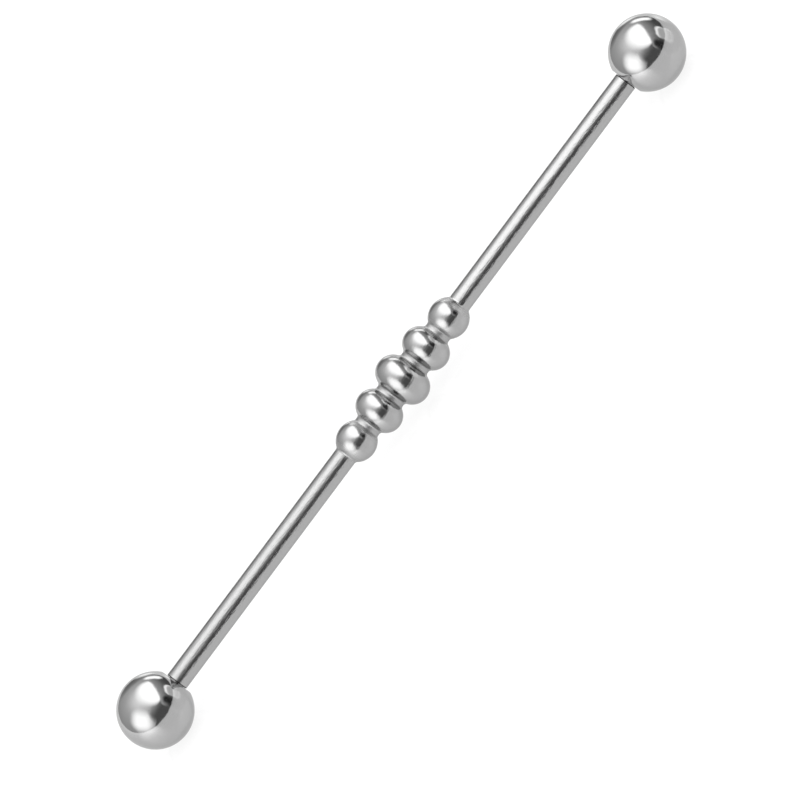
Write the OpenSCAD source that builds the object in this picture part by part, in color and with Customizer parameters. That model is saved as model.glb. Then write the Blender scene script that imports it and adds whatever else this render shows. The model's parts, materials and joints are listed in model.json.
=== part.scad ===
// An industrial barbell for an ear: a straight steel bar with five beads turned in its middle,
// and a screw-on ball at each end. The bar lies along X, with its middle at the origin.

/* [Bar] */
// Diameter of the plain bar, 16 gauge
bar_d = 1.2; // [1:0.1:1.5]
// Length of the bar from shoulder to shoulder, where the balls seat
bar_l = 38; // [28:1:50]
// Size of the chamfer that breaks each shoulder's edge
shoulder_chamfer = 0.03; // [0.02:0.01:0.08]

/* [Beads] */
// Diameter of the middle bead
middle_bead_d = 3.04; // [2.6:0.04:3.4]
// Radius of the middle bead's rounded side
middle_bead_round = 0.93; // [0.8:0.01:1.1]
// Diameter of the bead on each side of the middle one
second_bead_d = 2.6; // [2.3:0.1:3]
// Radius of the second beads' rounded side
second_bead_round = 0.89; // [0.8:0.01:1]
// Diameter of the two end beads, which are round like balls
end_bead_d = 2.14; // [1.9:0.02:2.4]
// How far the middle bead stands from the bar's middle, towards the right ball
beads_shift = 0.12; // [-0.5:0.02:0.5]

/* [Necks] */
// How much wider than the bar the neck between the middle bead and a second bead is
inner_neck_step = 0.43; // [0.2:0.01:0.6]
// Straight length of that neck between its blends
inner_neck_l = 0.06; // [0.02:0.02:0.6]
// How much wider than the bar the neck between a second bead and an end bead is
outer_neck_step = 0.22; // [0.1:0.02:0.4]
// Straight length of that neck between its blends
outer_neck_l = 0.09; // [0.03:0.03:0.6]
// Radius of the blend where a bead runs into its neck or the bar
blend_r = 0.17; // [0.1:0.01:0.25]

/* [Thread] */
// How much narrower than the bar the thread is over its crests
thread_step = 0.05; // [0.02:0.01:0.2]
// Distance from one turn of the thread to the next
thread_pitch = 0.25; // [0.2:0.05:0.3]
// Depth of the thread from its sharp crest to its root
thread_depth = 0.14; // [0.1:0.01:0.15]
// Number of turns on each stud
thread_turns = 7; // [4:1:8]
// Length of the plain undercut between the shoulder and the first turn
relief_l = 0.1; // [0.05:0.05:0.2]
// Size of the chamfer on the stud's tip
tip_chamfer = 0.1; // [0.05:0.05:0.2]

/* [Balls] */
// Diameter of each ball
ball_d = 4.0; // [3.6:0.1:6]
// Diameter of the flat that faces the bar's shoulder
flat_d = 1.8; // [1.6:0.1:2.2]
// Gap between the shoulder and the ball's flat
seat_gap = 0.02; // [0.02:0.01:0.1]
// Gap between the thread's crests and the wall of the ball's hole, all round
thread_gap = 0.02; // [0.02:0.01:0.05]
// Gap between the stud's tip and the bottom of the ball's hole
tip_gap = 0.3; // [0.1:0.1:0.4]
// Size of the chamfer round the mouth of the ball's hole
mouth_chamfer = 0.04; // [0.02:0.01:0.08]

/* [Hidden] */
$fn = 96;
// A blend and a cut reach this far into the metal beside them, so that no sliver is left
sink = 0.05;
// Point angle of the drill that makes the ball's hole
drill_angle = 118;
// Angle between the two flanks of a turn of the thread
thread_angle = 60;

shoulder_x = bar_l / 2;
inner_neck_d = bar_d + inner_neck_step;
outer_neck_d = bar_d + outer_neck_step;

crest_r = (bar_d - thread_step) / 2;
root_r = crest_r - thread_depth;
flank_l = thread_depth * tan(thread_angle / 2);
stud_l = relief_l + thread_turns * thread_pitch + tip_chamfer;

// A bead runs this far along the bar from its centre to the start of the neck beside it
function reach(d, round_r, neck_d) =
    sqrt(pow(round_r + blend_r, 2) - pow(neck_d / 2 + blend_r - (d / 2 - round_r), 2));

end_bead_round = end_bead_d / 2;
second_bead_x = reach(middle_bead_d, middle_bead_round, inner_neck_d) + inner_neck_l
    + reach(second_bead_d, second_bead_round, inner_neck_d);
end_bead_x = second_bead_x + reach(second_bead_d, second_bead_round, outer_neck_d) + outer_neck_l
    + reach(end_bead_d, end_bead_round, outer_neck_d);

// Flat of the ball to its centre, and that centre's place on the bar's axis
flat_x = sqrt(pow(ball_d / 2, 2) - pow(flat_d / 2, 2));
ball_x = shoulder_x + seat_gap + flat_x;
hole_r = crest_r + thread_gap;
hole_l = stud_l - seat_gap + tip_gap;

// In the profiles below, x is the distance from the bar's axis and y the place along it.

// The plain bar with its chamfers, and no studs
module bar_profile() {
    polygon([
        [0, -shoulder_x],
        [bar_d / 2 - shoulder_chamfer, -shoulder_x],
        [bar_d / 2, -shoulder_x + shoulder_chamfer],
        [bar_d / 2, shoulder_x - shoulder_chamfer],
        [bar_d / 2 - shoulder_chamfer, shoulder_x],
        [0, shoulder_x],
    ]);
}

// One side of the bead's round, as a disc whose rim is the bead's outline
module bead_profile(at, d, round_r) {
    translate([d / 2 - round_r, at]) circle(r = round_r);
}

// The metal between a bead and the neck beside it, hollowed by the blend's circle.
// way is 1 where the neck lies towards +y, and -1 where it lies towards -y.
module blend_profile(at, way, d, round_r, neck_d) {
    round_x = d / 2 - round_r;
    blend_x = neck_d / 2 + blend_r;
    blend_y = way * reach(d, round_r, neck_d);
    touch = (round_r - sink) / (round_r + blend_r);
    translate([0, at]) difference() {
        polygon([
            [neck_d / 2 - sink, blend_y],
            [blend_x, blend_y],
            [round_x + (blend_x - round_x) * touch, blend_y * touch],
            [neck_d / 2 - sink, 0],
        ]);
        translate([blend_x, blend_y]) circle(r = blend_r);
    }
}

// A neck of one diameter that reaches to the centres of the beads at its ends
module neck_profile(neck_d, to) {
    translate([0, -to]) square([neck_d / 2, 2 * to]);
}

// Five beads with their necks and blends
module beads_profile() {
    neck_profile(inner_neck_d, second_bead_x);
    neck_profile(outer_neck_d, end_bead_x);
    bead_profile(0, middle_bead_d, middle_bead_round);
    for (way = [-1, 1]) {
        blend_profile(0, way, middle_bead_d, middle_bead_round, inner_neck_d);
        bead_profile(way * second_bead_x, second_bead_d, second_bead_round);
        blend_profile(way * second_bead_x, -way, second_bead_d, second_bead_round, inner_neck_d);
        blend_profile(way * second_bead_x, way, second_bead_d, second_bead_round, outer_neck_d);
        bead_profile(way * end_bead_x, end_bead_d, end_bead_round);
        blend_profile(way * end_bead_x, -way, end_bead_d, end_bead_round, outer_neck_d);
        blend_profile(way * end_bead_x, way, end_bead_d, end_bead_round, bar_d);
    }
}

// The stud's thread as a row of rings, with y counted from the shoulder outwards
module stud_profile() {
    turn = [for (i = [0:thread_turns - 1]) each let (y = relief_l + i * thread_pitch) [
        [root_r, y],
        [crest_r, y + flank_l],
        [root_r, y + 2 * flank_l],
    ]];
    polygon(concat(
        [[0, -sink], [root_r, -sink]],
        turn,
        [[root_r, stud_l - tip_chamfer], [root_r - tip_chamfer, stud_l], [0, stud_l]]
    ));
}

// The bar, its beads and its two studs, turned from one rod
module bar() {
    color("silver") rotate([0, 90, 0]) {
        rotate_extrude() intersection() {
            union() {
                bar_profile();
                translate([0, beads_shift]) beads_profile();
            }
            translate([0, -shoulder_x]) square([middle_bead_d, bar_l]);
        }
        for (way = [0, 1]) mirror([0, 0, way])
            translate([0, 0, shoulder_x]) rotate_extrude() stud_profile();
    }
}

// A ball with its flat and its blind hole, on the side of the bar that way names: 1 for +X, -1 for -X
module ball(way) {
    color("gainsboro") translate([way * ball_x, 0, 0]) rotate([0, way * 90, 0]) difference() {
        sphere(d = ball_d);
        translate([0, 0, -ball_d]) cylinder(d = ball_d, h = ball_d - flat_x);
        translate([0, 0, -flat_x]) rotate_extrude() polygon([
            [0, -sink],
            [hole_r + mouth_chamfer + sink, -sink],
            [hole_r, mouth_chamfer],
            [hole_r, hole_l],
            [0, hole_l + hole_r / tan(drill_angle / 2)],
        ]);
    }
}

module left_ball() ball(-1);

module right_ball() ball(1);

bar();
left_ball();
right_ball();
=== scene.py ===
# %% [markdown]
# # An industrial barbell in polished steel
# An industrial barbell is ear jewellery: a straight steel bar that goes through two piercings, with a
# ball screwed on to each end. This one has five beads turned in its middle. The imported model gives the
# frame, where every piece has its real size and place, so it is loaded first.

import json
import math

import bmesh
import bpy
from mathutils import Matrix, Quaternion, Vector


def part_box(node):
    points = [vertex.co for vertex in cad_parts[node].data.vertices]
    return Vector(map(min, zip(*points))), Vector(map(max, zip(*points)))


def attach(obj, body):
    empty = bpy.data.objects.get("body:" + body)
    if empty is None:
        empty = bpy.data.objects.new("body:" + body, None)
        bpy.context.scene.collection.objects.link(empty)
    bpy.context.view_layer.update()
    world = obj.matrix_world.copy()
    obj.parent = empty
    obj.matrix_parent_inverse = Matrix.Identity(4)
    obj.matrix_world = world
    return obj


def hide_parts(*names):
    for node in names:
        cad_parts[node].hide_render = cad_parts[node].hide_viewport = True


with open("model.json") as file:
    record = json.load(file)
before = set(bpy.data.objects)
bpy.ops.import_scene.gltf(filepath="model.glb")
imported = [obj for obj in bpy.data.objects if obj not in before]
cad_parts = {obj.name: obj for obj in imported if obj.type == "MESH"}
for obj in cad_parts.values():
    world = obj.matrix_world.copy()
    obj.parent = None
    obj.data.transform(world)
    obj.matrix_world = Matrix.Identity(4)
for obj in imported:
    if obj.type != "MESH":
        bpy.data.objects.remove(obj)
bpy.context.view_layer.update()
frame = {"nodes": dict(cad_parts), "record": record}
print("nodes:", sorted(frame["nodes"]))

# %% [markdown]
# ## The real sizes
# All sizes are in millimetres, as on the maker's drawing, and MM turns them into Blender's metres. What
# the frame knows is read from it: the bar's radius from a mount, the ball's from its box.

# %% Sizes from the frame
MM = 0.001

bar_r = frame["record"]["mounts"][0]["dims"]["r_mm"]
stud_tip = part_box("bar")[1].x / MM
ball_low, ball_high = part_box("right_ball")
flat_x = ball_low.x / MM
ball_r = (ball_high.z - ball_low.z) / 2 / MM
ball_x = ball_high.x / MM - ball_r
print(f"bar radius {bar_r:.2f}, stud tip at {stud_tip:.2f}, ball radius {ball_r:.2f} at {ball_x:.3f} mm")

# %% Sizes of the turned details
shoulder_x = 19.0
shoulder_chamfer = 0.03
beads_x = 0.12
inner_neck_r = 0.815
outer_neck_r = 0.71
blend_r = 0.17
inner_neck_l = 0.06
outer_neck_l = 0.09
# Each bead's radius, and the radius of its rounded side
middle_bead = (1.52, 0.93)
second_bead = (1.3, 0.89)
end_bead = (1.07, 1.07)

# %% [markdown]
# ## A lathe made of spin
# A lathe cuts a round piece with one tool path. The same path drawn as a profile, a chain of points at
# their distance from the axis, becomes the piece when it is spun once about the axis. A cylinder with
# edge loops scaled by hand could look alike, but a polished piece shows every uneven ring in what it
# mirrors. The arcs of the profile are spun too: one point turned about the arc's centre leaves a chain.

# %% Drawing a profile
ARC_STEP = 3.0


def start_profile(x, r):
    """A new profile with its first point at x along the axis and r out from it."""
    profile = bmesh.new()
    return profile, profile.verts.new((x * MM, r * MM, 0))


def line_to(profile, last, x, r):
    """A straight line from the last point to a new one."""
    point = profile.verts.new((x * MM, r * MM, 0))
    profile.edges.new((last, point))
    return point


def arc_to(profile, last, x, r, degrees):
    """An arc about the centre (x, r). Positive degrees turn it anticlockwise."""
    made = bmesh.ops.spin(
        profile, geom=[last], cent=(x * MM, r * MM, 0), axis=(0, 0, 1),
        angle=math.radians(degrees), steps=max(2, math.ceil(abs(degrees) / ARC_STEP)))
    return next(v for v in made["geom_last"] if isinstance(v, bmesh.types.BMVert))


# %% Turning a profile on the axis
ROUND_STEPS = 144
# Points nearer than this, in metres, are one point
SAME_PLACE = 1e-7


def turn(profile, steps=ROUND_STEPS):
    """Spins the profile once about the X axis, into a closed shape whose faces point outwards."""
    bmesh.ops.spin(
        profile, geom=list(profile.edges), cent=(0, 0, 0), axis=(1, 0, 0),
        angle=math.tau, steps=steps, use_merge=True)
    bmesh.ops.remove_doubles(profile, verts=list(profile.verts), dist=SAME_PLACE)
    bmesh.ops.recalc_face_normals(profile, faces=list(profile.faces))
    return profile


# %% Moving shapes to the other end
def at_end(shapes, way):
    """Leaves shapes made for the right end as they are, or turns them round to the left end."""
    if way < 0:
        for shape in shapes:
            bmesh.ops.rotate(
                shape, verts=list(shape.verts), cent=(0, 0, 0),
                matrix=Quaternion((0, 0, 1), math.pi).to_matrix())
    return shapes


# %% Making a piece of what was turned
SHARP_ANGLE = 30.0


def finish_piece(name, body, node, shapes):
    """Joins the shapes into one piece that stands for a node and rides on its body."""
    whole = bmesh.new()
    for shape in shapes:
        part = bpy.data.meshes.new("part")
        shape.to_mesh(part)
        shape.free()
        whole.from_mesh(part)
        bpy.data.meshes.remove(part)
    mesh = bpy.data.meshes.new(name)
    whole.to_mesh(mesh)
    whole.free()
    mesh.shade_smooth()
    mesh.set_sharp_from_angle(angle=math.radians(SHARP_ANGLE))
    piece = bpy.data.objects.new(name, mesh)
    bpy.context.scene.collection.objects.link(piece)
    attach(piece, body)
    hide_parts(node)
    print(f"{name}: {len(mesh.polygons)} faces")
    return piece


# %% [markdown]
# ## The beads
# A form tool cuts each bead: a round side, with a small hollow blend where it runs into the neck beside
# it. The blend's arc and the bead's arc touch, so the polish runs from one into the other with no edge.
# The angle where they touch follows from the two radii, which keeps the chain of arcs smooth.

# %% One bead's arcs
def touch_angle(bead, neck_r):
    """The angle, seen from the bead's arc centre, at which the blend takes over."""
    bead_r, round_r = bead
    rise = neck_r + blend_r - (bead_r - round_r)
    return math.degrees(math.acos(rise / (round_r + blend_r)))


def reach(bead, neck_r):
    """How far along the bar the bead and its blend run, from the bead's centre."""
    return (bead[1] + blend_r) * math.sin(math.radians(touch_angle(bead, neck_r)))


def add_bead(profile, last, x, bead, neck_before, neck_after):
    """Blends out of one neck, goes over the bead's round and back into the next neck."""
    bead_r, round_r = bead
    before, after = touch_angle(bead, neck_before), touch_angle(bead, neck_after)
    last = line_to(profile, last, x - reach(bead, neck_before), neck_before)
    last = arc_to(profile, last, x - reach(bead, neck_before), neck_before + blend_r, before)
    last = arc_to(profile, last, x, bead_r - round_r, -(before + after))
    return arc_to(profile, last, x + reach(bead, neck_after), neck_after + blend_r, after)


# %% Where the beads stand
second_x = reach(middle_bead, inner_neck_r) + inner_neck_l + reach(second_bead, inner_neck_r)
end_x = second_x + reach(second_bead, outer_neck_r) + outer_neck_l + reach(end_bead, outer_neck_r)
print(f"second beads at {second_x:.3f} mm and end beads at {end_x:.3f} mm from the middle one")

# %% The bar with its beads
profile, last = start_profile(-shoulder_x, 0)
last = line_to(profile, last, -shoulder_x, bar_r - shoulder_chamfer)
last = line_to(profile, last, -shoulder_x + shoulder_chamfer, bar_r)
last = add_bead(profile, last, beads_x - end_x, end_bead, bar_r, outer_neck_r)
last = add_bead(profile, last, beads_x - second_x, second_bead, outer_neck_r, inner_neck_r)
last = add_bead(profile, last, beads_x, middle_bead, inner_neck_r, inner_neck_r)
last = add_bead(profile, last, beads_x + second_x, second_bead, inner_neck_r, outer_neck_r)
last = add_bead(profile, last, beads_x + end_x, end_bead, outer_neck_r, bar_r)
last = line_to(profile, last, shoulder_x - shoulder_chamfer, bar_r)
last = line_to(profile, last, shoulder_x, bar_r - shoulder_chamfer)
line_to(profile, last, shoulder_x, 0)
print(f"profile of {len(profile.verts)} points")
turned_bar = turn(profile)

# %% [markdown]
# ## The threaded studs
# A die cuts the thread that each ball screws on to. It is one V-shaped ridge that winds round a core. A
# stack of rings would look alike from afar, but its turns would be level. Spin also moves what it turns:
# with one pitch of travel for each turn, a triangle becomes the real winding ridge.

# %% Sizes of the thread
pitch = 0.25
thread_turns = 7
crest_r = 0.575
thread_depth = 0.14
relief_l = 0.1
tip_chamfer = 0.1
# Half the angle between the two flanks of the ridge
flank_angle = 30.0
root_r = crest_r - thread_depth
flank_l = thread_depth * math.tan(math.radians(flank_angle))
first_turn_x = shoulder_x + relief_l + flank_l
TURN_STEPS = 48
print(f"thread of {crest_r * 2:.2f} mm with {pitch:.2f} mm pitch, core {root_r * 2:.2f} mm")


def ridge(x, foot_r, top_r, turns):
    """A ridge that winds round the axis, right-handed, with its first turn's middle at x."""
    shape = bmesh.new()
    corners = [(x - flank_l, foot_r), (x, top_r), (x + flank_l, foot_r)]
    section = shape.faces.new([shape.verts.new((px * MM, pr * MM, 0)) for px, pr in corners])
    bmesh.ops.spin(
        shape, geom=[section], cent=(0, 0, 0), axis=(1, 0, 0), dvec=(pitch / TURN_STEPS * MM, 0, 0),
        angle=math.tau * turns, steps=int(TURN_STEPS * turns))
    bmesh.ops.recalc_face_normals(shape, faces=list(shape.faces))
    return shape


# %% One stud, its core and its ridge
def stud(way):
    """The stud on one end: way is 1 for the right end and -1 for the left."""
    core, last = start_profile(shoulder_x - shoulder_chamfer, 0)
    last = line_to(core, last, shoulder_x - shoulder_chamfer, root_r)
    last = line_to(core, last, stud_tip - tip_chamfer, root_r)
    last = line_to(core, last, stud_tip, root_r - tip_chamfer)
    line_to(core, last, stud_tip, 0)
    shapes = [turn(core, TURN_STEPS)]
    shapes.append(ridge(first_turn_x, root_r, crest_r, thread_turns - 1))
    return at_end(shapes, way)


bar = finish_piece("bar_turned", "bar", "bar", [turned_bar, *stud(1), *stud(-1)])

# %% [markdown]
# ## The balls
# Each ball starts as a bearing ball. A flat is ground where it meets the bar, its edge is broken, and a
# blind hole is drilled and tapped in the flat. An icosphere or UV sphere with a boolean cut would leave
# uneven triangles round the flat, so the ball is turned as well, hole and all.

# %% One ball
flat_r = math.sqrt(ball_r ** 2 - (ball_x - flat_x) ** 2)
# Half the width of the broken edge round the flat
flat_edge = 0.03
thread_gap = 0.02
tip_gap = 0.3
hole_r = crest_r + thread_gap
hole_end = stud_tip + tip_gap
mouth_chamfer = 0.04
drill_angle = 118.0
print(f"flat of {flat_r * 2:.2f} mm, and a hole of {hole_r * 2:.2f} mm that ends at {hole_end:.2f} mm")


def ball(name, way):
    """The ball on one end: way is 1 for the right end and -1 for the left."""
    edge_angle = math.degrees(math.asin((flat_r + flat_edge) / ball_r))
    edge_x = ball_x - ball_r * math.cos(math.radians(edge_angle))
    profile, last = start_profile(hole_end + hole_r / math.tan(math.radians(drill_angle / 2)), 0)
    last = line_to(profile, last, hole_end, hole_r)
    last = line_to(profile, last, flat_x + mouth_chamfer, hole_r)
    last = line_to(profile, last, flat_x, hole_r + mouth_chamfer)
    last = line_to(profile, last, flat_x, flat_r - flat_edge)
    last = line_to(profile, last, edge_x, flat_r + flat_edge)
    last = arc_to(profile, last, ball_x, 0, edge_angle - 180)
    # The ridge in the hole winds between the turns of the stud's, half a pitch further out
    shapes = [turn(profile)]
    shapes.append(ridge(first_turn_x + pitch / 2, hole_r, hole_r - thread_depth, thread_turns - 1))
    return finish_piece(name + "_turned", name, name, at_end(shapes, way))


balls = [ball("left_ball", -1), ball("right_ball", 1)]

# %% [markdown]
# ## Colours and nodes
# Colours are written as the hex values that a colour picker shows, and one function turns them into the
# linear numbers that the shader works with. Another adds a node with its settings and links in one call.

# %% Helpers for materials
def linear(hex_colour):
    """The linear RGBA value of an sRGB hex colour, by the sRGB standard's own curve."""
    shares = [int(hex_colour[i:i + 2], 16) / 255 for i in (1, 3, 5)]
    return (*[s / 12.92 if s <= 0.04045 else ((s + 0.055) / 1.055) ** 2.4 for s in shares], 1.0)


def add_node(tree, kind, settings=None, inputs=None):
    """Adds a node, sets its properties, and sets or links its inputs by name or number."""
    node = tree.nodes.new(kind)
    for key, value in (settings or {}).items():
        setattr(node, key, value)
    for key, value in (inputs or {}).items():
        if isinstance(value, bpy.types.NodeSocket):
            tree.links.new(value, node.inputs[key])
        else:
            node.inputs[key].default_value = value
    return node


def new_material(name):
    """An empty material and its node tree."""
    material = bpy.data.materials.new(name)
    material.use_nodes = True
    material.node_tree.nodes.clear()
    return material, material.node_tree


print("steel's mid grey is", [round(c, 3) for c in linear("#A8A8A8")])

# %% [markdown]
# ## Polished bar steel
# The bar is surgical stainless steel, drawn to size and then polished on a mop. It mirrors the studio, and
# faint lengthwise lines left from drawing make the edges of what it mirrors waver. The beads are turned and
# come out smoother, but the mop can't reach the necks between them, which stay dull. The edge beside each
# ball is painted dark, as shade in the gap there. Real lines would be far too many to model, so a noise
# that is stretched along the bar bends the surface and varies the haze.

# %% The drawing lines
# Real drawing lines are a few hundredths of a millimetre wide and would not show, so they are drawn coarser
line_width = 0.08
line_length = 0.4
line_depth = 0.013

material, tree = new_material("polished_bar_steel")
place = add_node(tree, "ShaderNodeTexCoord")
stretch = add_node(tree, "ShaderNodeMapping", {}, {
    "Vector": place.outputs["Object"],
    "Scale": (1 / (line_length * MM), 1 / (line_width * MM), 1 / (line_width * MM))})
lines = add_node(tree, "ShaderNodeTexNoise", {}, {
    "Vector": stretch.outputs["Vector"], "Scale": 1.0, "Detail": 3.0, "Roughness": 0.6})
print(f"lines {line_width:.2f} by {line_length:.1f} mm, and {line_depth * 1000:.0f} micrometres deep")

# %% Fainter lines on the beads
# Share of the lines' depth that is left on the beads, and how far the change runs to each side of their end
beads_share = 0.5
fade_l = 0.2
beads_end = end_x + reach(end_bead, bar_r)

along = add_node(tree, "ShaderNodeSeparateXYZ", {}, {"Vector": place.outputs["Object"]})
from_middle = add_node(tree, "ShaderNodeMath", {"operation": "ABSOLUTE"}, {0: along.outputs["X"]})
plain = add_node(tree, "ShaderNodeMapRange", {}, {
    "Value": from_middle.outputs["Value"], "From Min": (beads_end - fade_l) * MM,
    "From Max": (beads_end + fade_l) * MM})
drawn = add_node(tree, "ShaderNodeMath", {"operation": "MULTIPLY_ADD"}, {
    0: plain.outputs["Result"], 1: 1 - beads_share, 2: beads_share})
height = add_node(tree, "ShaderNodeMath", {"operation": "MULTIPLY"}, {
    0: lines.outputs["Fac"], 1: drawn.outputs["Value"]})
bump = add_node(tree, "ShaderNodeBump", {}, {
    "Height": height.outputs["Value"], "Strength": 1.0, "Distance": line_depth * MM})
print(f"the beads end {beads_end:.2f} mm from the bar's middle")

# %% Haze, and the dull necks
# Least and most roughness where the mop reaches, and the values of the noise that give them
mopped_haze = (0.04, 0.1)
lines_ends = (0.35, 0.65)
# Roughness at the bottom of a neck, and how far out from there it fades, which is a little past the blend
neck_haze = 0.4
neck_fade = 1.25 * blend_r

haze = add_node(tree, "ShaderNodeMapRange", {}, {
    "Value": lines.outputs["Fac"], "From Min": lines_ends[0], "From Max": lines_ends[1],
    "To Min": mopped_haze[0], "To Max": mopped_haze[1]})
off_axis = add_node(tree, "ShaderNodeVectorMath", {"operation": "MULTIPLY"}, {
    0: place.outputs["Object"], 1: (0, 1, 1)})
radius = add_node(tree, "ShaderNodeVectorMath", {"operation": "LENGTH"}, {0: off_axis.outputs["Vector"]})
in_neck = add_node(tree, "ShaderNodeMapRange", {}, {
    "Value": radius.outputs["Value"], "From Min": (inner_neck_r + neck_fade) * MM,
    "From Max": inner_neck_r * MM, "To Max": neck_haze})
# The plain bar is as thin as a neck, so its dullness is taken away again
unmopped = add_node(tree, "ShaderNodeMath", {"operation": "MULTIPLY_ADD"}, {
    0: plain.outputs["Result"], 1: -neck_haze, 2: in_neck.outputs["Result"]})
dull = add_node(tree, "ShaderNodeMath", {"operation": "MAXIMUM"}, {
    0: haze.outputs["Result"], 1: unmopped.outputs["Value"]})
print(f"roughness {mopped_haze[0]:.2f} to {mopped_haze[1]:.2f}, and up to {neck_haze:.2f} in the necks")

# %% Painted shade on the edge beside each ball
seam_shade_l = 0.05
# The bar's end lies right on this band's limit, and a micrometre more takes it in
seam_shade_slack = 0.001

# Painted shade: the base colour turns dark grey in a band at each end of the bar, for the shadow in the gap
# beside each ball
seam_shade = add_node(tree, "ShaderNodeMath", {"operation": "COMPARE"}, {
    0: from_middle.outputs["Value"], 1: (shoulder_x - seam_shade_l / 2) * MM,
    2: (seam_shade_l / 2 + seam_shade_slack) * MM})
grey = add_node(tree, "ShaderNodeMapRange", {}, {
    "Value": seam_shade.outputs["Value"], "To Min": linear("#A5A5A5")[0], "To Max": linear("#404040")[0]})
print(f"dark edge from {shoulder_x - seam_shade_l:.2f} mm to the bar's end")

# %% The bar's material
# The eye gets bands of light and dark along the bar with slightly wavering edges, duller in the necks. The
# specular tint takes a little off what steel mirrors at a grazing angle, which gives it a darker rim.
shader = add_node(tree, "ShaderNodeBsdfPrincipled", {}, {
    "Base Color": grey.outputs["Result"], "Metallic": 1.0, "Roughness": dull.outputs["Value"],
    "Specular Tint": linear("#DCDCDC"), "Normal": bump.outputs["Normal"]})
add_node(tree, "ShaderNodeOutputMaterial", {}, {"Surface": shader.outputs["BSDF"]})
bar.data.materials.append(material)
print("the bar's material has", len(tree.nodes), "nodes")

# %% [markdown]
# ## Mirror-polished ball steel
# The balls are tumbled until they mirror everything. Tumbling leaves a hardly visible waviness, which
# bends the edges of what a ball mirrors, and a haze of hair-fine marks. A perfect mirror on a perfect
# sphere would look drawn, so a slow noise bends the surface and a finer one varies the haze.

# %% Sizes of the balls' finish
wave_l = 0.9
wave_depth = 0.02
wave_strength = 0.5
# Real marks are a few micrometres wide and would not show, so patches of haze stand for many of them
haze_l = 0.15
# Least and most roughness, and the values of the noise that give them
tumbled_haze = (0.05, 0.12)
marks_ends = (0.3, 0.7)
print(f"waves {wave_l:.1f} mm long, and patches of haze {haze_l:.2f} mm across")

# %% The balls' material
# The eye gets a sharp picture of the studio, bent by the ball, with edges that are soft and not quite even
material, tree = new_material("mirror_polished_ball_steel")
place = add_node(tree, "ShaderNodeTexCoord")
waves = add_node(tree, "ShaderNodeTexNoise", {}, {
    "Vector": place.outputs["Object"], "Scale": 1 / (wave_l * MM), "Detail": 2.0})
bump = add_node(tree, "ShaderNodeBump", {}, {
    "Height": waves.outputs["Fac"], "Strength": wave_strength, "Distance": wave_depth * MM})
marks = add_node(tree, "ShaderNodeTexNoise", {}, {
    "Vector": place.outputs["Object"], "Scale": 1 / (haze_l * MM), "Detail": 2.0})
haze = add_node(tree, "ShaderNodeMapRange", {}, {
    "Value": marks.outputs["Fac"], "From Min": marks_ends[0], "From Max": marks_ends[1],
    "To Min": tumbled_haze[0], "To Max": tumbled_haze[1]})
shader = add_node(tree, "ShaderNodeBsdfPrincipled", {}, {
    "Base Color": linear("#A8A8A8"), "Metallic": 1.0, "Roughness": haze.outputs["Result"],
    "Specular Tint": linear("#E6E6E6"), "Normal": bump.outputs["Normal"]})
add_node(tree, "ShaderNodeOutputMaterial", {}, {"Surface": shader.outputs["BSDF"]})
for piece in balls:
    piece.data.materials.append(material)

# %% [markdown]
# ## The floor
# The barbell lies on its two balls on a plain pale floor. White paper that is lit only from above would
# show a grey shadow. An opal acrylic sheet that is lit from below too, as on a table for product pictures,
# keeps the ground white and the shadow pale, and its gloss mirrors the dark cards far along it.

# %% A plain floor
# Half the sheet's width in metres, so wide that its end looks like the horizon
floor_reach = 3.0

floor_shape = bmesh.new()
bmesh.ops.create_grid(floor_shape, x_segments=1, y_segments=1, size=floor_reach)
bmesh.ops.translate(floor_shape, verts=list(floor_shape.verts), vec=(0, 0, -ball_r * MM))
floor_mesh = bpy.data.meshes.new("floor")
floor_shape.to_mesh(floor_mesh)
floor_shape.free()
floor = bpy.data.objects.new("floor", floor_mesh)
bpy.context.scene.collection.objects.link(floor)
print(f"floor {ball_r:.2f} mm below the bar's axis, where the balls rest on it")

# %% The lit acrylic
# The eye gets an even white ground, with no grain and only a faint soft shadow. The values are the
# roughness of a fine polish, and the sheet's own glow as a share of full white.
floor_gloss = 0.08
floor_glow = 0.835

material, tree = new_material("lit_opal_acrylic")
shader = add_node(tree, "ShaderNodeBsdfPrincipled", {}, {
    "Base Color": linear("#6E6E6E"), "Roughness": floor_gloss, "Emission Color": linear("#FFFFFF"),
    "Emission Strength": floor_glow})
add_node(tree, "ShaderNodeOutputMaterial", {}, {"Surface": shader.outputs["BSDF"]})
floor.data.materials.append(material)

# %% [markdown]
# ## Studio light
# Polished steel has no look of its own: it shows the studio. Soft white panels and dark cards stand round
# the barbell, hidden from the camera. Blender's area lights would show in the steel with hard edges, so
# each panel is a flat sheet that glows, and it fades out at its rounded rim.

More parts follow.
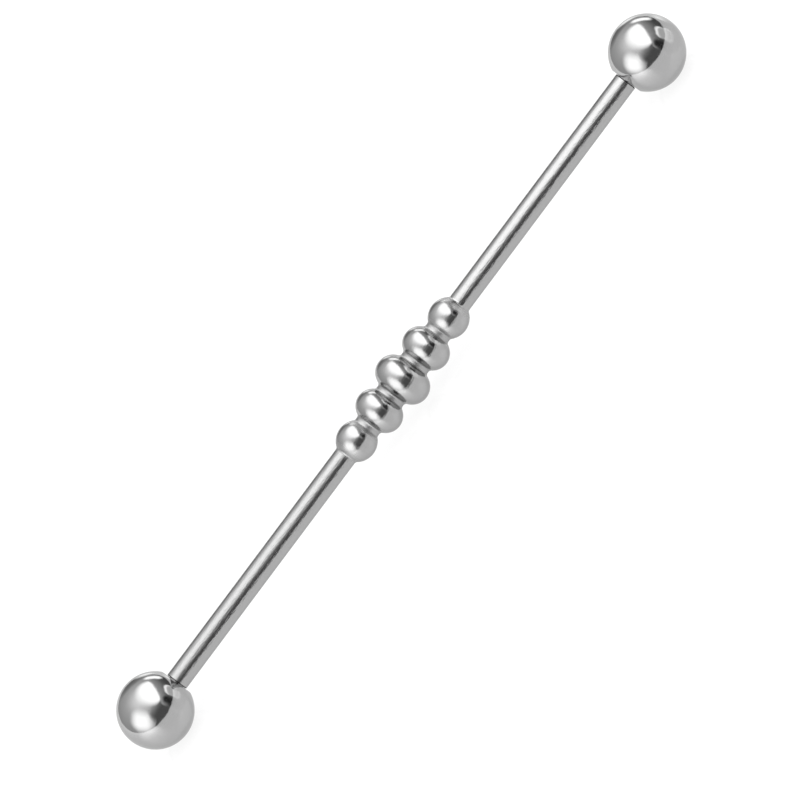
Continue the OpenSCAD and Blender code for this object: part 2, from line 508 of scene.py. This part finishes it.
# %% A card's glow
def card_glow(name, size, level, corner, soft, head):
    """A material that glows evenly, or up to head at the top edge, and fades out at a rounded rim."""
    width, height = size
    material, tree = new_material(name)
    place = add_node(tree, "ShaderNodeTexCoord")
    folded = add_node(tree, "ShaderNodeVectorMath", {"operation": "ABSOLUTE"}, {
        0: place.outputs["Object"]})
    past = add_node(tree, "ShaderNodeVectorMath", {"operation": "SUBTRACT"}, {
        0: folded.outputs["Vector"], 1: (width / 2 - corner, height / 2 - corner, 0)})
    outside = add_node(tree, "ShaderNodeVectorMath", {"operation": "MAXIMUM"}, {
        0: past.outputs["Vector"], 1: (0, 0, 0)})
    far = add_node(tree, "ShaderNodeVectorMath", {"operation": "LENGTH"}, {
        0: outside.outputs["Vector"]})
    cover = add_node(tree, "ShaderNodeMapRange", {"interpolation_type": "SMOOTHSTEP"}, {
        "Value": far.outputs["Value"], "From Min": corner, "From Max": corner - soft})
    if head is not None:
        across = add_node(tree, "ShaderNodeSeparateXYZ", {}, {"Vector": place.outputs["Object"]})
        graded = add_node(tree, "ShaderNodeMapRange", {"interpolation_type": "SMOOTHSTEP"}, {
            "Value": across.outputs["Y"], "From Min": 0, "From Max": height / 2,
            "To Min": level, "To Max": head})
        level = graded.outputs["Result"]
    light = add_node(tree, "ShaderNodeEmission", {}, {"Color": linear("#FFFFFF"), "Strength": level})
    clear = add_node(tree, "ShaderNodeBsdfTransparent")
    mix = add_node(tree, "ShaderNodeMixShader", {}, {
        0: cover.outputs["Result"], 1: clear.outputs["BSDF"], 2: light.outputs["Emission"]})
    add_node(tree, "ShaderNodeOutputMaterial", {}, {"Surface": mix.outputs["Shader"]})
    return material


# %% A card
def card(name, azimuth, elevation, distance, size, level, corner, soft, head=None, turned=0, tipped=0):
    """A card that faces the barbell, with a soft rim. Its compass direction counts from +Y to +X.

    head is its brightness at the top edge, where that differs. turned and tipped are degrees that it
    is turned in its own plane, and tipped back from facing the barbell.
    """
    a, e = math.radians(azimuth), math.radians(elevation)
    direction = Vector((math.sin(a) * math.cos(e), math.cos(a) * math.cos(e), math.sin(e)))
    shape = bmesh.new()
    bmesh.ops.create_grid(shape, x_segments=1, y_segments=1, size=0.5)
    bmesh.ops.scale(shape, verts=list(shape.verts), vec=(*size, 1))
    mesh = bpy.data.meshes.new(name)
    shape.to_mesh(mesh)
    shape.free()
    panel = bpy.data.objects.new(name, mesh)
    panel.location = direction * distance
    panel.rotation_mode = "QUATERNION"
    panel.rotation_quaternion = (
        direction.to_track_quat("-Z", "Y") @ Quaternion((1, 0, 0), math.radians(tipped))
        @ Quaternion((0, 0, 1), math.radians(turned)))
    bpy.context.scene.collection.objects.link(panel)
    panel.visible_camera = False
    panel.visible_shadow = False
    mesh.materials.append(card_glow(name, size, level, corner, soft, head))
    return panel


# %% The cards
# Each one's name, compass direction, height angle, distance, size, brightness, corner and soft rim, with
# the directions and angles in degrees and the rest in metres. A card hides those that stand behind it.
card("overhead_softbox", 96, 45, 0.44, (0.83, 0.83), 2.7, 0.415, 0.165, tipped=45)
card("left_softbox", -116, 28.5, 0.56, (0.92, 0.89), 2.6, 0.39, 0.36, turned=16)
card("back_flag", 172, 22, 0.50, (0.88, 0.90), 0.15, 0.40, 0.25, head=1.2)
card("corner_flag", 203, 3, 0.44, (0.13, 0.30), 0.15, 0.025, 0.025, turned=54)
card("right_flag", 98, 5, 0.30, (0.84, 0.55), 0.13, 0.10, 0.07, head=0.75, turned=-4)
card("right_panel", 99, 9.2, 0.27, (0.185, 0.155), 2.0, 0.07, 0.025)
card("right_panel_face", 101, 2.2, 0.26, (0.18, 0.155), 0.88, 0.07, 0.03)
card("dark_flag", 134, 7, 0.25, (0.14, 0.24), 0.04, 0.065, 0.05)
card("far_flag", 3, 10.5, 0.25, (0.26, 0.24), 0.3, 0.12, 0.11)
card("far_glow", 17, -3.5, 0.24, (0.11, 0.14), 1.9, 0.05, 0.045)
card("far_panel", 42, 16, 0.30, (0.20, 0.12), 2.8, 0.06, 0.05, turned=-34)
card("far_panel_hole", 40, 0, 0.28, (0.06, 0.06), 0.3, 0.03, 0.02)

# %% The room's own light
# The walls are grey and grow a little brighter upwards, and the ceiling glows right above
wall_level = 0.74
wall_rise = 0.38
ceiling_glow = 1.05
# A higher power keeps the glow closer to the point right above
ceiling_power = 6.0

world = bpy.data.worlds.new("studio")
bpy.context.scene.world = world
world.use_nodes = True
tree = world.node_tree
tree.nodes.clear()
direction = add_node(tree, "ShaderNodeTexCoord")
parts = add_node(tree, "ShaderNodeSeparateXYZ", {}, {"Vector": direction.outputs["Generated"]})
wall = add_node(tree, "ShaderNodeMath", {"operation": "MULTIPLY_ADD"}, {
    0: parts.outputs["Z"], 1: wall_rise, 2: wall_level})
ceiling = add_node(tree, "ShaderNodeMath", {"operation": "POWER"}, {
    0: parts.outputs["Z"], 1: ceiling_power})
glow = add_node(tree, "ShaderNodeMath", {"operation": "MULTIPLY_ADD"}, {
    0: ceiling.outputs["Value"], 1: ceiling_glow, 2: wall.outputs["Value"]})
room = add_node(tree, "ShaderNodeBackground", {}, {"Strength": glow.outputs["Value"]})
add_node(tree, "ShaderNodeOutputWorld", {}, {"Surface": room.outputs["Background"]})
overhead = wall_level + wall_rise + ceiling_glow
print(f"the room's brightness is {wall_level:.2f} at the horizon and {overhead:.2f} right overhead")

# %% [markdown]
# ## The camera
# The photograph looks at the bar square on, from 33.5 degrees above the floor, with the camera rolled so
# that the bar runs up to the right. A long lens from far away keeps both balls alike, as a near one would
# show more of their facing sides, and its angle follows from the width that the picture takes in.

# %% Where the camera stands
# A full-frame sensor in millimetres, and the nearest distance in metres that the camera shows
SENSOR_WIDTH = 36.0
CLIP_START = 0.01

camera_elevation = 33.5
camera_roll = 53.22
# From the bar's middle, in metres
camera_distance = 1.2
# Width that the picture takes in, in millimetres
view_width = 40.54
# The picture is square. The origin's place in it is counted in pixels from its top left corner.
image_px = 800
origin_px = (401.25, 381.45)
print(f"one pixel is {view_width / image_px:.4f} mm")

# %% Place the camera
e = math.radians(camera_elevation)
back = Vector((0, -math.cos(e), math.sin(e)))
turned = back.to_track_quat("Z", "Y") @ Quaternion((0, 0, 1), -math.radians(camera_roll))
px = view_width * MM / image_px
aside = turned @ Vector(((image_px / 2 - origin_px[0]) * px, (origin_px[1] - image_px / 2) * px, 0))
camera_data = bpy.data.cameras.new("camera")
camera_data.sensor_width = SENSOR_WIDTH
camera_data.lens = SENSOR_WIDTH * camera_distance / (view_width * MM)
camera_data.clip_start = CLIP_START
camera = bpy.data.objects.new("camera", camera_data)
camera.rotation_mode = "QUATERNION"
camera.rotation_quaternion = turned
camera.location = back * camera_distance + aside
bpy.context.scene.collection.objects.link(camera)
bpy.context.scene.camera = camera
bpy.context.scene.view_settings.view_transform = "Standard"
print(f"lens {camera_data.lens:.0f} mm")
